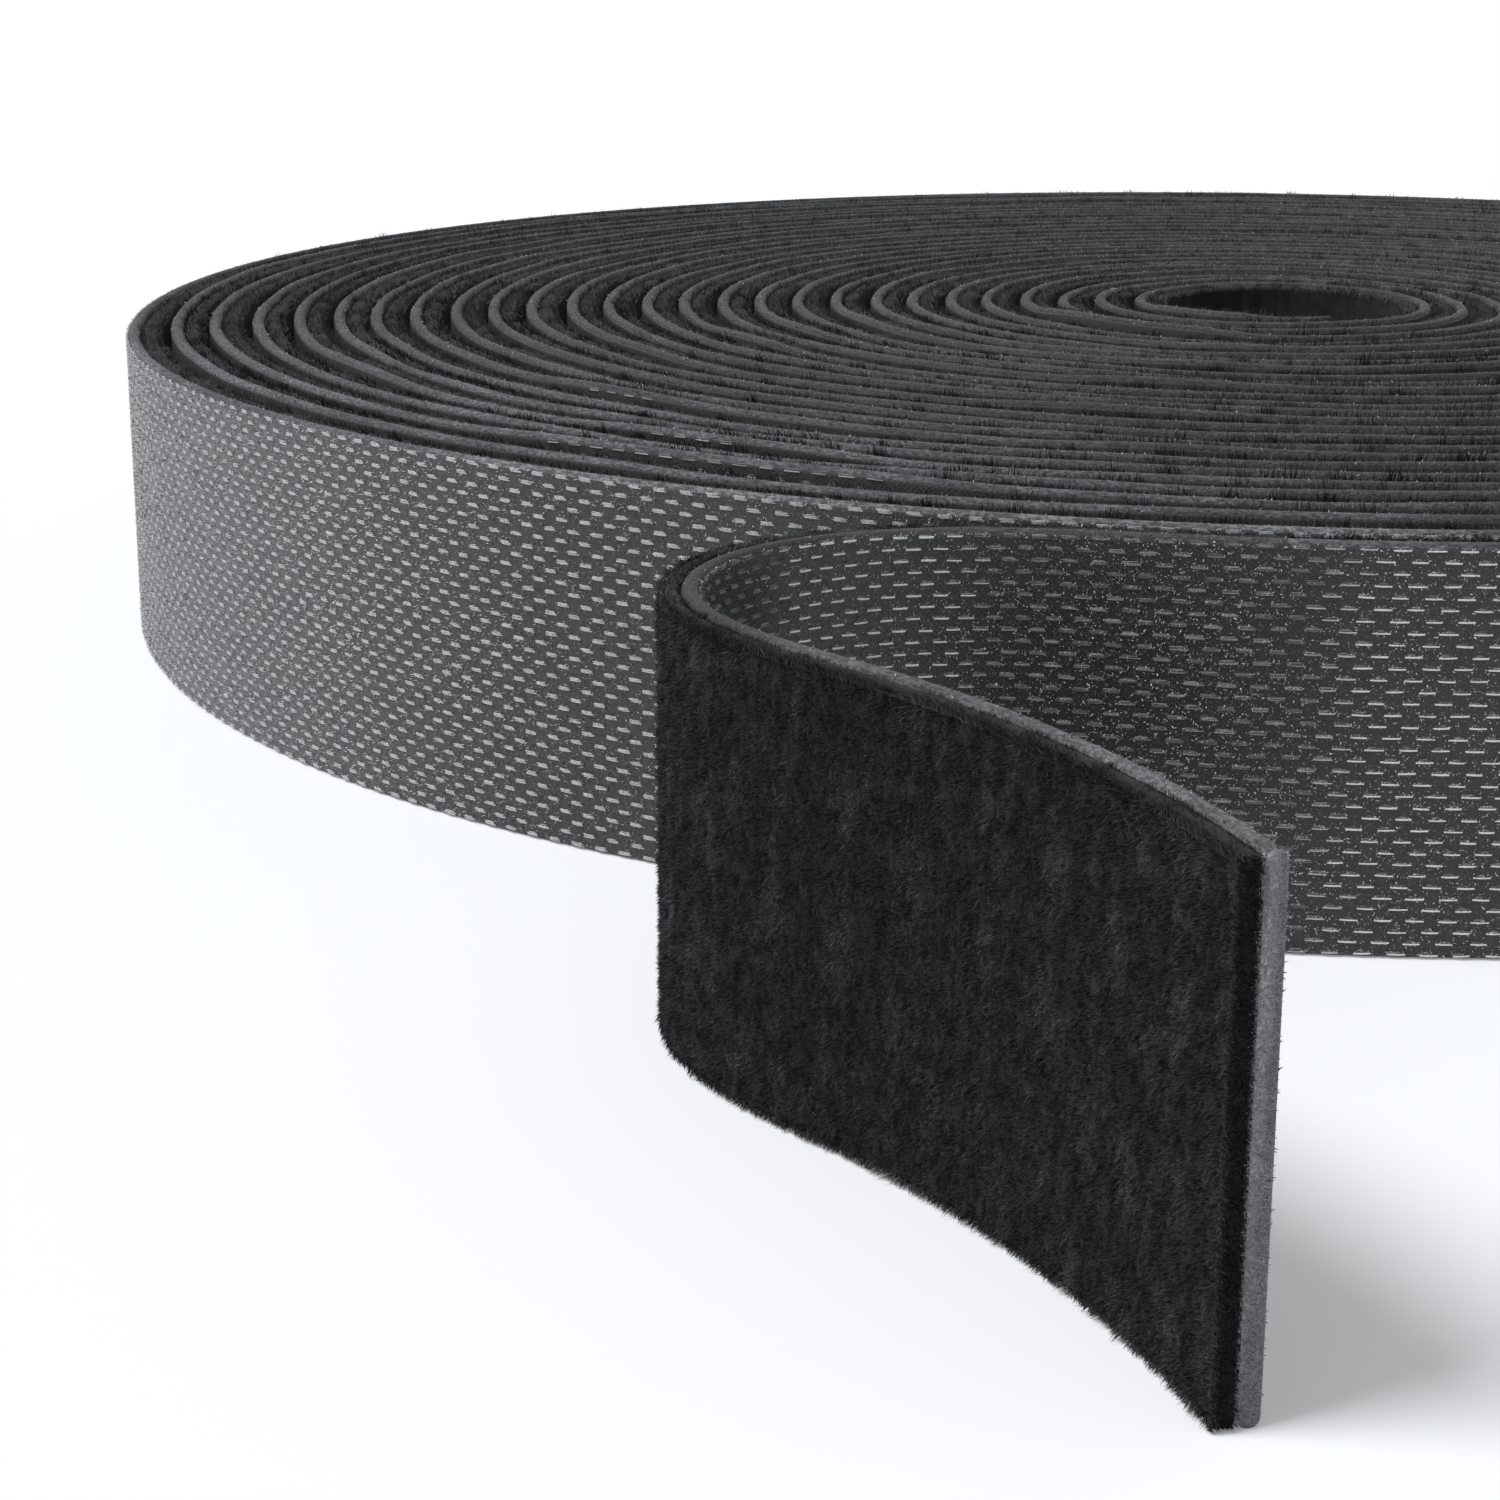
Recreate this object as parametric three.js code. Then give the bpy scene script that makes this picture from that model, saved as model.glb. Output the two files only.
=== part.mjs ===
// A roll of back-to-back hook and loop tape standing on its edge, with its free end folded back.
// The tape is two webs bonded back to back. The hook web faces out of the roll, the loop web faces the bore.
// Seen from above the tape winds outwards clockwise, leaves the roll at the peel line, turns back in one
// smooth bend and runs out in a slightly bowed tail. Each web is one closed strip in four stretches.
// Lengths are in millimetres, +Z is up, and the origin is the middle of the object's foot on the ground.
import * as THREE from "three";

// Tape
const tapeWidth = 16;
const hookWebThickness = 0.75;
const loopWebThickness = 0.8;
const bondLine = 0.1; // left clear between the two webs, where the real tape has its glue

// Winding
const boreRadius = 5.96; // at the tape's inner end; the bore widens as the spiral opens
const turnGap = 0.77; // air between one turn and the next
const turns = 23.9; // the inner end then lies at the front left of the bore
const stepsPerTurn = 22;

// Free end
const peelAngleDegrees = -93.5; // where the tape leaves the roll, anticlockwise from +X
const foldTurnDegrees = 143.5; // how far the tape turns back
const foldLength = 35.2; // the length of tape over which it turns back
const leadLength = 7; // the first part of the fold, which stays stiff beside the peel line
const tailLength = 21.6; // the length of tape past the fold
const tailBowRadius = 48.7; // the tail bows the other way
const stretchGap = 0.3; // left clear between one stretch and the next
const leadSteps = 4;
const bendSteps = 15;
const tailSteps = 12;

const fullTurn = 2 * Math.PI;
const radians = THREE.MathUtils.degToRad;
const turnPitch = hookWebThickness + bondLine + loopWebThickness + turnGap;
const windingAngle = fullTurn * turns;
const windingSteps = Math.round(turns * stepsPerTurn);
const peelAngle = radians(peelAngleDegrees);

// Each web as two distances from the middle of the bond line: its back and its working face.
// Positive distances lie on the hook side.
const hookWeb = { back: bondLine / 2, face: bondLine / 2 + hookWebThickness };
const loopWeb = { back: -bondLine / 2, face: -bondLine / 2 - loopWebThickness };

const hookMaterial = new THREE.MeshStandardMaterial({ color: 0x3b3d40, roughness: 0.75, metalness: 0 });
const loopMaterial = new THREE.MeshStandardMaterial({ color: 0x1c1d20, roughness: 0.95, metalness: 0 });

// The radius of the bond line after the given winding angle from the inner end.
function bondRadius(wound) {
  return boreRadius - loopWeb.face + (turnPitch * wound) / fullTurn;
}

// A station is a point of the bond line with the direction of the hook side there.
function woundStation(wound) {
  const angle = peelAngle + windingAngle - wound;
  const normal = new THREE.Vector2(Math.cos(angle), Math.sin(angle));
  return { point: normal.clone().multiplyScalar(bondRadius(wound)), normal };
}

// The direction in which the free tape runs, at a distance past the peel line. The fold turns it with an
// even ease in and out, so its bend is tightest in the middle.
function heading(distance) {
  const share = Math.min(distance / foldLength, 1);
  const turned = radians(foldTurnDegrees) * share * share * (3 - 2 * share);
  const bowed = Math.max(distance - foldLength, 0) / tailBowRadius;
  return peelAngle - fullTurn / 4 + turned - bowed;
}

// The free tape's bond line is the sum of many short pieces, each along the heading in its middle.
const walkPieces = 400;
function freeStation(distance) {
  const point = woundStation(windingAngle).point;
  for (let i = 0; i < walkPieces; i++) {
    const direction = heading((distance * (i + 0.5)) / walkPieces);
    point.x += (Math.cos(direction) * distance) / walkPieces;
    point.y += (Math.sin(direction) * distance) / walkPieces;
  }
  const across = heading(distance) + fullTurn / 4;
  return { point, normal: new THREE.Vector2(Math.cos(across), Math.sin(across)) };
}

// Stations from one end of a stretch to the other.
function stationsBetween(start, end, steps, stationAt) {
  return Array.from({ length: steps + 1 }, (_, i) => stationAt(start + ((end - start) * i) / steps));
}

function offsetPoint(station, distance) {
  return station.point.clone().addScaledVector(station.normal, distance);
}

// A strip with a rectangular section along the stations, standing on the ground, closed at both ends.
function stripGeometry(stations, web) {
  const low = Math.min(web.back, web.face);
  const high = Math.max(web.back, web.face);
  const positions = [];
  for (const station of stations) {
    const inner = offsetPoint(station, low);
    const outer = offsetPoint(station, high);
    positions.push(inner.x, inner.y, 0, outer.x, outer.y, 0);
    positions.push(outer.x, outer.y, tapeWidth, inner.x, inner.y, tapeWidth);
  }
  const corners = 4;
  const index = [];
  for (let i = 0; i + 1 < stations.length; i++) {
    for (let side = 0; side < corners; side++) {
      const a = i * corners + side;
      const b = i * corners + ((side + 1) % corners);
      index.push(a, b, b + corners, a, b + corners, a + corners);
    }
  }
  const last = (stations.length - 1) * corners;
  index.push(0, 2, 1, 0, 3, 2);
  index.push(last, last + 1, last + 2, last, last + 2, last + 3);
  const geometry = new THREE.BufferGeometry();
  geometry.setAttribute("position", new THREE.Float32BufferAttribute(positions, 3));
  geometry.setIndex(index);
  geometry.computeVertexNormals();
  return geometry;
}

function strip(name, stations, web, material) {
  const mesh = new THREE.Mesh(stripGeometry(stations, web), material);
  mesh.name = name;
  return mesh;
}

// The least distance between two faces of the winding that lie at least half a turn apart, measured
// between corners and the middles of the flats.
function leastGap(stations, outward, inward) {
  const line = (distance) =>
    stations.flatMap((station, i) => {
      const here = offsetPoint(station, distance);
      if (i === 0) return [here];
      return [offsetPoint(stations[i - 1], distance).lerp(here, 0.5), here];
    });
  const apart = stepsPerTurn; // both lines hold two points a step, so this is half a turn
  const outerLine = line(outward);
  const innerLine = line(inward);
  let least = Infinity;
  outerLine.forEach((point, i) => {
    for (let j = i + apart; j < innerLine.length; j++) least = Math.min(least, point.distanceTo(innerLine[j]));
  });
  return least;
}

const bendStart = leadLength + stretchGap;
const bendEnd = foldLength - leadLength;
const freeLength = foldLength + tailLength;
const stretches = {
  roll: stationsBetween(0, windingAngle, windingSteps, woundStation),
  lead: stationsBetween(stretchGap, leadLength, leadSteps, freeStation),
  bend: stationsBetween(bendStart, bendEnd, bendSteps, freeStation),
  tail: stationsBetween(bendEnd + stretchGap, freeLength, tailSteps, freeStation),
};

const tape = new THREE.Group();
for (const [stretch, stations] of Object.entries(stretches)) {
  tape.add(strip(`hook_web_${stretch}`, stations, hookWeb, hookMaterial));
  tape.add(strip(`loop_web_${stretch}`, stations, loopWeb, loopMaterial));
}

// Stands the tape with the middle of its box's foot on the origin.
const box = new THREE.Box3().setFromObject(tape);
const foot = box.getCenter(new THREE.Vector3()).setZ(box.min.z);
tape.position.sub(foot);

const rollTape = new THREE.Group();
rollTape.add(tape);

// The sizes that follow from the values above, and the places of the two hinge lines.
function printed(point) {
  return `${(point.x - foot.x).toFixed(2)}, ${(point.y - foot.y).toFixed(2)}`;
}

const fits = {
  "hook web, turn to turn": leastGap(stretches.roll, hookWeb.face, hookWeb.back),
  "loop web, turn to turn": leastGap(stretches.roll, loopWeb.back, loopWeb.face),
  "air between turns": leastGap(stretches.roll, hookWeb.face, loopWeb.face),
};
for (const [name, gap] of Object.entries(fits)) console.log(`${name}: ${gap.toFixed(2)} mm least gap`);
const size = box.getSize(new THREE.Vector3());
console.log(`box: ${size.x.toFixed(2)} x ${size.y.toFixed(2)} x ${size.z.toFixed(2)} mm`);
console.log(`roll axis: ${printed(new THREE.Vector2())}`);
console.log(`peel line, on the hook face: ${printed(offsetPoint(freeStation(stretchGap / 2), hookWeb.face))}`);
console.log(`fold line, in the middle of the bend: ${printed(freeStation(foldLength / 2).point)}`);

export default rollTape;
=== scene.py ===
"""A roll of back-to-back hook and loop tape standing on its edge, with its free end folded back on itself.

The tape is two webs bonded back to back: a woven hook web that faces out of the roll, with rows of raised
dashes, and a loop web with a brushed pile that faces the bore. Every piece is made flat first, as distances
along the tape, off its bond line and up, and then bent along the course that the tape takes. Lengths are in
metres, in the frame of the CAD model.
"""

import math

import bpy
import numpy as np
from mathutils import Matrix, Vector

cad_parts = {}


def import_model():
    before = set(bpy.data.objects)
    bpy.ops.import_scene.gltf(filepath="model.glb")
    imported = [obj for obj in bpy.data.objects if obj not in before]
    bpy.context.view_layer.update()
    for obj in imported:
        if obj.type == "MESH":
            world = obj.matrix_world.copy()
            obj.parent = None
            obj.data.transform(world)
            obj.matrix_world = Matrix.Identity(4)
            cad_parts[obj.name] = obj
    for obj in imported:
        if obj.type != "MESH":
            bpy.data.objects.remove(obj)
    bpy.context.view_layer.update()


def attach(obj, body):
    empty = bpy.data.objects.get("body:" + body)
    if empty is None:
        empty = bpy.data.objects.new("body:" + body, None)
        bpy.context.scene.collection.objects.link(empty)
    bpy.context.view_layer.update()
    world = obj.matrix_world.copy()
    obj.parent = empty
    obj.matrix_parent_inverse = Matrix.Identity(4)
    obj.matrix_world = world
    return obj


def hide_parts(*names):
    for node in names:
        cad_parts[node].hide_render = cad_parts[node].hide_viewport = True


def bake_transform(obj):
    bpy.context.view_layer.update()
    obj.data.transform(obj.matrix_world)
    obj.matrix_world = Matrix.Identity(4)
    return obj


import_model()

MM = 0.001
FULL_TURN = 2 * math.pi

# Tape. Distances off the bond line are positive on the hook side.
TAPE_WIDTH = 16 * MM
HOOK_BACK, HOOK_GROUND = 0.03 * MM, 0.70 * MM
LOOP_BACK, LOOP_GROUND = -0.03 * MM, -0.62 * MM
PILE_DEPTH = 0.85 * MM  # how far the crowded pile of the wound turns reaches off the bond line
PILE_TIP = -1.28 * MM
HOOK_CORNER, LOOP_CORNER = 0.30 * MM, 0.22 * MM
PILE_INSET = 0.17 * MM  # the loop web's body ends this far inside the tape's edges, and its pile fills that
FREE_INSET = 0.09 * MM  # the same where the tape leaves the roll
CROWDING = 25 * MM  # the length of tape before the peel line over which the pile gets crowded

# Winding, in the same space as the CAD's, with the real number of turns.
ROLL_AXIS = np.array((-0.59973, 19.60381)) * MM
PEEL_ANGLE = math.radians(-93.5)
PEEL_RADIUS = 64.648 * MM
INNER_RADIUS = 6.36 * MM
TURNS = 27.09
WINDING_ANGLE = FULL_TURN * TURNS
OUTER_TURN = FULL_TURN * PEEL_RADIUS

# Free end
FOLD_TURN = math.radians(143.5)
FOLD_LENGTH = 35.2 * MM
TAIL_LENGTH = 21.6 * MM
TAIL_BOW = 48.7 * MM
FREE_LENGTH = FOLD_LENGTH + TAIL_LENGTH

# How the tape is cut into pieces, as distances past the peel line.
PEEL_START, PEEL_END = -5 * MM, 3 * MM


def smooth(value, low, high):
    """0 below low, 1 above high, and an even ease between."""
    share = np.clip((value - low) / (high - low), 0, 1)
    return share * share * (3 - 2 * share)


def ripple(along, wavelength, seed):
    """A smooth seeded wave between -1 and 1."""
    share = (along - np.min(along)) / wavelength
    knots = np.random.default_rng(seed).uniform(-1, 1, int(np.max(share)) + 3)
    whole = share.astype(int)
    part = smooth(share - whole, 0, 1)
    return knots[whole] * (1 - part) + knots[whole + 1] * part


# The tape's course is held as samples of the bond line. Each has its distance past the peel line, and the
# direction in which the hook side faces there.
COURSE_STEP = 0.1 * MM
COURSE_SPARE = 2 * MM  # the course goes on a little past the cut end

# At the front right the turns inside the outermost one lie closer in, and less so from turn to turn.
SLACK = 0.45 * MM
SLACK_ANGLE, SLACK_SPREAD = math.radians(-48), math.radians(32)
SLACK_FROM = (0.4, 0.9)  # in turns from the outside
SLACK_TURNS = 9

# All turns wander in and out a little.
WOBBLE, WOBBLE_LENGTH = 0.13 * MM, 21 * MM
WOBBLE_FROM = (20 * MM, 60 * MM)  # before the peel line


def wound_course():
    mean_radius = (INNER_RADIUS + PEEL_RADIUS) / 2
    wound = np.linspace(0, WINDING_ANGLE, int(WINDING_ANGLE * mean_radius / COURSE_STEP))
    angle = PEEL_ANGLE + WINDING_ANGLE - wound
    radius = INNER_RADIUS + (PEEL_RADIUS - INNER_RADIUS) * wound / WINDING_ANGLE
    from_outside = (WINDING_ANGLE - wound) / FULL_TURN
    off_angle = (angle - SLACK_ANGLE + math.pi) % FULL_TURN - math.pi
    drawn_in = np.exp(-((off_angle / SLACK_SPREAD) ** 2)) * smooth(from_outside, *SLACK_FROM)
    radius = radius - SLACK * drawn_in * np.clip(1 - (from_outside - 1) / SLACK_TURNS, 0, 1)
    out = np.stack([np.cos(angle), np.sin(angle)], -1)
    run = np.concatenate([[0], np.cumsum(np.hypot(*np.diff(out * radius[:, None], axis=0).T))])
    run -= run[-1]
    radius = radius + WOBBLE * ripple(run, WOBBLE_LENGTH, seed=3) * smooth(-run, *WOBBLE_FROM)
    return run, ROLL_AXIS + out * radius[:, None], out


def heading(distance):
    """The direction in which the free tape runs. The fold turns it back, and the tail bows the other way."""
    share = np.minimum(distance / FOLD_LENGTH, 1)
    bowed = np.maximum(distance - FOLD_LENGTH, 0) / TAIL_BOW
    return PEEL_ANGLE - FULL_TURN / 4 + FOLD_TURN * share * share * (3 - 2 * share) - bowed


def free_course():
    run = np.arange(0, FREE_LENGTH + COURSE_SPARE, COURSE_STEP)
    middle = heading(run[:-1] + COURSE_STEP / 2)
    steps = np.stack([np.cos(middle), np.sin(middle)], -1) * COURSE_STEP
    start = ROLL_AXIS + PEEL_RADIUS * np.array((math.cos(PEEL_ANGLE), math.sin(PEEL_ANGLE)))
    points = start + np.concatenate([[(0, 0)], np.cumsum(steps, 0)])
    across = heading(run) + FULL_TURN / 4
    return run, points, np.stack([np.cos(across), np.sin(across)], -1)


wound_run, wound_points, wound_out = wound_course()
free_run, free_points, free_out = free_course()
RUN = np.concatenate([wound_run, free_run[1:]])
POINT = np.concatenate([wound_points, free_points[1:]])
OUT = np.concatenate([wound_out, free_out[1:]])
START = RUN[0]


def on_side(angle):
    """1 where the hook side faces that way, with an even ease to 0 on either side of it."""
    return smooth(OUT @ (math.cos(angle), math.sin(angle)), 0.80, 0.97)


# The turns inside the outermost one stand higher than it, by up to half a millimetre. They do so most, and
# most unevenly, at the front left.
FRONT_LEFT = math.radians(-122)
EDGE_LIFT, TURN_LIFT, EDGE_RIPPLE = 0.32 * MM, 0.08 * MM, 0.06 * MM
LIFT_FROM = (OUTER_TURN, 1.2 * OUTER_TURN)  # before the peel line
uneven = smooth(ripple(RUN, 15 * MM, seed=5), 0.1, 0.95)
steps_up = EDGE_LIFT * uneven * on_side(FRONT_LEFT) + TURN_LIFT * (1 + ripple(RUN, 45 * MM, seed=7))
LIFT = (steps_up + EDGE_RIPPLE * (1 + ripple(RUN, 6 * MM, seed=6))) * smooth(-RUN, *LIFT_FROM)

# Their pile is brushed up highest where the free end lies before them, just to the right of the peel line.
MATTED_ANGLE = PEEL_ANGLE + 0.35  # radians
MATTED = on_side(MATTED_ANGLE)

# The weave of the hook web is pressed together on the hollow side of the fold. WOVEN says how far along the
# weave each sample of the course is, and PRESSED by what factor the weave is shortened there.
PINCH = 1.6 * MM
turned = np.unwrap(np.arctan2(free_out[:, 1], free_out[:, 0]))
WOVEN = np.concatenate([wound_run, free_run[1:] + PINCH * (turned[1:] - turned[0])])
PRESSED = np.gradient(RUN) / np.gradient(WOVEN)


def place(flat):
    """Bends points of the flat tape (along, off the bond line, up) into the tape's course."""
    along, off, up = flat[..., 0], flat[..., 1], flat[..., 2]
    x = np.interp(along, RUN, POINT[:, 0]) + off * np.interp(along, RUN, OUT[:, 0])
    y = np.interp(along, RUN, POINT[:, 1]) + off * np.interp(along, RUN, OUT[:, 1])
    return np.stack([x, y, up + np.interp(along, RUN, LIFT)], -1)


# Materials


class Nodes:
    """The nodes of a material or of the world, with short calls for the ones that are used here."""

    def __init__(self, owner):
        owner.use_nodes = True
        self.owner, self.tree = owner, owner.node_tree

    def find(self, kind):
        return next(node for node in self.tree.nodes if node.type == kind)

    def put(self, socket, value):
        """Links a socket to another one, or sets its value. A colour is given as red, green and blue."""
        if isinstance(value, bpy.types.NodeSocket):
            self.tree.links.new(value, socket)
        else:
            socket.default_value = (*value, 1) if socket.type == "RGBA" else value

    def fill(self, node, **inputs):
        for key, value in inputs.items():
            self.put(node.inputs[key.replace("_", " ")], value)

    def add(self, kind, settings=(), **inputs):
        node = self.tree.nodes.new(kind)
        for key, value in dict(settings).items():
            setattr(node, key, value)
        self.fill(node, **inputs)
        return node

    def in_order(self, node, *values):
        """Fills a node's inputs in their order, and returns the node."""
        for socket, value in zip(node.inputs, values):
            self.put(socket, value)
        return node

    def calc(self, operation, a, b=0.0):
        return self.in_order(self.add("ShaderNodeMath", {"operation": operation}), a, b).outputs[0]

    def times(self, a, b):
        return self.calc("MULTIPLY", a, b)

    def vector_calc(self, operation, a, b):
        return self.in_order(self.add("ShaderNodeVectorMath", {"operation": operation}), a, b)

    def part(self, vector, axis):
        return self.add("ShaderNodeSeparateXYZ", Vector=vector).outputs[axis]

    def mix(self, share, a, b):
        node = self.add("ShaderNodeMix", {"data_type": "RGBA"})
        for socket, value in ((0, share), (6, a), (7, b)):
            self.put(node.inputs[socket], value)
        return node.outputs[2]

    def ease(self, value, low, high, to_low=0.0, to_high=1.0):
        node = self.add("ShaderNodeMapRange", {"interpolation_type": "SMOOTHSTEP"})
        return self.in_order(node, value, low, high, to_low, to_high).outputs[0]

    def noise(self, vector, scale, detail=2.0, rough=0.5):
        node = self.add("ShaderNodeTexNoise", Vector=vector, Scale=scale, Detail=detail, Roughness=rough)
        return node.outputs["Fac"]

    def wave(self, distance, length):
        return self.calc("SINE", self.times(distance, FULL_TURN / length))

    def bump(self, height, strength):
        """The normal of a relief whose height is in millimetres."""
        return self.add("ShaderNodeBump", Height=height, Strength=strength, Distance=MM).outputs[0]

    def finish(self, **inputs):
        """Sets the inputs of a material's shader, and returns the material."""
        self.fill(self.find("BSDF_PRINCIPLED"), **inputs)
        return self.owner


def new_material(name):
    return Nodes(bpy.data.materials.new(name))


def flat_tape(m):
    """The flat tape's coordinates in millimetres, as a vector: X runs along the tape and Z up."""
    return m.add("ShaderNodeAttribute", {"attribute_name": "tape_mm"}).outputs["Vector"]


def hook_web_material():
    """Distances along the tape are in millimetres past the peel line."""
    yarn_dark, yarn_light, thread_top = (0.010, 0.012, 0.0115), (0.018, 0.020, 0.0195), (0.036, 0.040, 0.038)
    # Of the colours on the next line, the first is a painted sheen and the second a painted shade.
    painted_sheen, shade, gap = (0.190, 0.194, 0.206), (0.004, 0.004, 0.004), (0.003, 0.003, 0.003)
    fleck = (0.125, 0.132, 0.128)
    m = new_material("hook_web_nylon")
    flat = flat_tape(m)
    along, up = m.part(flat, "X"), m.part(flat, "Z")
    # Plain weave: ribs across and along the tape, each fading as the other crosses over it.
    weave = m.times(m.wave(along, length=0.26), m.wave(up, length=0.23))
    flecks = m.noise(flat, scale=13.0)
    grain = m.ease(m.noise(flat, scale=4.5, detail=3.0, rough=0.6), low=0.36, high=0.64)
    mottle = m.noise(flat, scale=0.35, detail=3.0, rough=0.6)
    # Painted sheen towards the left edge of the roll, and painted shade where the tape comes off it.
    painted_sheen_from = m.ease(along, low=-378.0, high=-326.0, to_low=0.09, to_high=1.0)
    painted_sheen_to = m.ease(along, low=-300.0, high=-180.0, to_low=1.0, to_high=0.0)
    shade_at_peel = m.ease(m.calc("ABSOLUTE", along), low=5.0, high=8.0, to_low=0.7, to_high=0.0)
    woven = m.mix(mottle, yarn_dark, yarn_light)
    woven = m.mix(m.times(painted_sheen_from, painted_sheen_to), woven, painted_sheen)
    woven = m.mix(shade_at_peel, woven, shade)
    woven = m.mix(m.times(grain, 0.45), woven, gap)
    woven = m.mix(m.ease(weave, low=-1.0, high=1.0, to_high=0.25), woven, thread_top)
    return m.finish(
        Base_Color=m.mix(m.ease(flecks, low=0.56, high=0.70, to_high=0.6), woven, fleck),
        Roughness=m.calc("ADD", m.times(grain, 0.15), 0.34),
        Normal=m.bump(m.calc("ADD", m.times(weave, 0.005), m.times(flecks, 0.025)), strength=0.5),
        Specular_IOR_Level=0.5,
    )


def selvedge_material(name, dark, light, zones=(), front=None):
    """The edge of the hook web, where its threads turn back. Its light colour may be painted lighter at the
    front left of the roll, as painted light, and may differ in zones, each from one distance in millimetres
    past the peel line to another."""
    front_from, front_to = 22 * MM, 42 * MM  # from the model's origin towards the front left
    zone_fade = 6.0
    sparkle_tint = (0.17, 0.175, 0.18)
    m = new_material(name)
    flat = flat_tape(m)
    along = m.part(flat, "X")
    squeezed = m.vector_calc("MULTIPLY", flat, (3, 6, 6)).outputs[0]
    threads = m.noise(squeezed, scale=1.3, detail=3.0, rough=0.6)
    threads = m.ease(threads, low=0.36, high=0.64, to_low=0.22)
    patches = m.ease(m.noise(flat, scale=0.28, detail=4.0, rough=0.65), low=0.32, high=0.68, to_low=0.45)
    sparkle = m.noise(flat, scale=11.0)
    # Painted light: the edge's light colour gets lighter towards the front left of the roll.
    if front is not None:
        spot = m.add("ShaderNodeTexCoord").outputs["Object"]
        towards = m.vector_calc("DOT_PRODUCT", spot, (math.cos(FRONT_LEFT), math.sin(FRONT_LEFT), 0))
        light = m.mix(m.ease(towards.outputs["Value"], front_from, front_to), light, front)
    for start, end, zone_colour in zones:
        half = (end - start) / 2
        off_middle = m.calc("ABSOLUTE", m.calc("SUBTRACT", along, (start + end) / 2))
        inside = m.ease(off_middle, low=half - zone_fade, high=half, to_low=1.0, to_high=0.0)
        light = m.mix(inside, light, zone_colour)
    colour = m.mix(m.times(threads, patches), dark, light)
    return m.finish(
        Base_Color=m.mix(m.ease(sparkle, low=0.58, high=0.72, to_high=0.35), colour, sparkle_tint),
        Roughness=0.7,
        Normal=m.bump(m.calc("ADD", m.times(threads, 0.07), m.times(sparkle, 0.05)), strength=0.6),
        Specular_IOR_Level=0.2,
    )


def loop_web_material():
    black, grey, pale = (0.010, 0.0102, 0.0115), (0.024, 0.0245, 0.028), (0.045, 0.046, 0.052)
    m = new_material("loop_web_pile")
    flat = flat_tape(m)
    upright = m.vector_calc("MULTIPLY", flat, (1, 1, 0.6)).outputs[0]
    clumps = m.noise(upright, scale=1.1, detail=4.0, rough=0.6)
    fine = m.noise(flat, scale=9.0, detail=3.0, rough=0.7)
    colour = m.mix(m.ease(clumps, low=0.35, high=0.7), black, grey)
    return m.finish(
        Base_Color=m.mix(m.ease(fine, low=0.55, high=0.75, to_high=0.5), colour, pale),
        Roughness=0.95,
        Normal=m.bump(m.times(fine, 0.08), strength=0.8),
        Sheen_Weight=0.06,
        Sheen_Roughness=0.5,
        Specular_IOR_Level=0.2,
    )


def plain_fibre(name, colour, roughness, specular=0.5):
    return new_material(name).finish(Base_Color=colour, Roughness=roughness, Specular_IOR_Level=specular)


hook_nylon = hook_web_material()
hook_cut = selvedge_material("hook_web_cut", dark=(0.17, 0.172, 0.185), light=(0.38, 0.385, 0.405))
# The wound turns' edges are painted lighter at the front left of the roll, as painted light, and more so
# around the front left of the outermost turn.
bead = selvedge_material(
    "hook_web_bead",
    dark=(0.022, 0.023, 0.025),
    light=(0.080, 0.083, 0.085),
    zones=[(-415, -365, (0.27, 0.274, 0.29))],
    front=(0.185, 0.192, 0.208),
)
# The free end's edges are darker over the fold, and painted lighter along the tail as painted light.
selvedge = selvedge_material(
    "hook_web_selvedge",
    dark=(0.030, 0.030, 0.030),
    light=(0.105, 0.104, 0.103),
    zones=[
        (11, 36, (0.052, 0.051, 0.050)),
        (29, 90, (0.190, 0.194, 0.208)),
        (42, 90, (0.270, 0.276, 0.295)),
    ],
)

# A strip's materials are those of its faces, its edges and its cut ends.
wound_hook_web = [hook_nylon, bead, hook_cut]
free_hook_web = [hook_nylon, selvedge, hook_cut]
loop_web = [loop_web_material()] * 3

# The dashes are one light grey nylon in lit and shaded copies: two painted glints, a medium and a dim tint as
# painted shade, and the painted light of the left of the roll.
dash_tints = [
    plain_fibre("dash_painted_glint", (0.92, 0.94, 0.93), roughness=0.3),
    plain_fibre("dash_mid", (0.34, 0.355, 0.35), roughness=0.4),
    plain_fibre("dash_dim", (0.15, 0.158, 0.155), roughness=0.4),
    plain_fibre("dash_painted_light", (0.60, 0.61, 0.625), roughness=0.6, specular=0.3),
    plain_fibre("dash_painted_soft_glint", (0.60, 0.62, 0.61), roughness=0.35),
]
DASH_PAINTED_GLINT, DASH_MID, DASH_DIM, DASH_PAINTED_LIGHT, DASH_PAINTED_SOFT_GLINT = range(len(dash_tints))
# The small hooks are one nylon: the light tint is partly their own pale tone and partly a painted glint, and
# the dark one also serves as painted shade inside the fold.
hook_tints = [
    plain_fibre("hook_light", (0.74, 0.76, 0.75), roughness=0.35),
    plain_fibre("hook_mid", (0.30, 0.31, 0.305), roughness=0.4),
    plain_fibre("hook_dark", (0.08, 0.085, 0.083), roughness=0.4),
]
HOOK_DARK = len(hook_tints) - 1
pile_tints = [
    plain_fibre("pile_dark", (0.0125, 0.0128, 0.0135), roughness=0.75, specular=0.3),
    plain_fibre("pile_mid", (0.022, 0.023, 0.026), roughness=0.65, specular=0.3),
    plain_fibre("pile_light", (0.050, 0.055, 0.058), roughness=0.6, specular=0.3),
    plain_fibre("pile_speck", (0.14, 0.145, 0.152), roughness=0.6, specular=0.3),
]
PILE_DARK, PILE_MID, PILE_LIGHT, PILE_SPECK = range(len(pile_tints))
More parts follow.
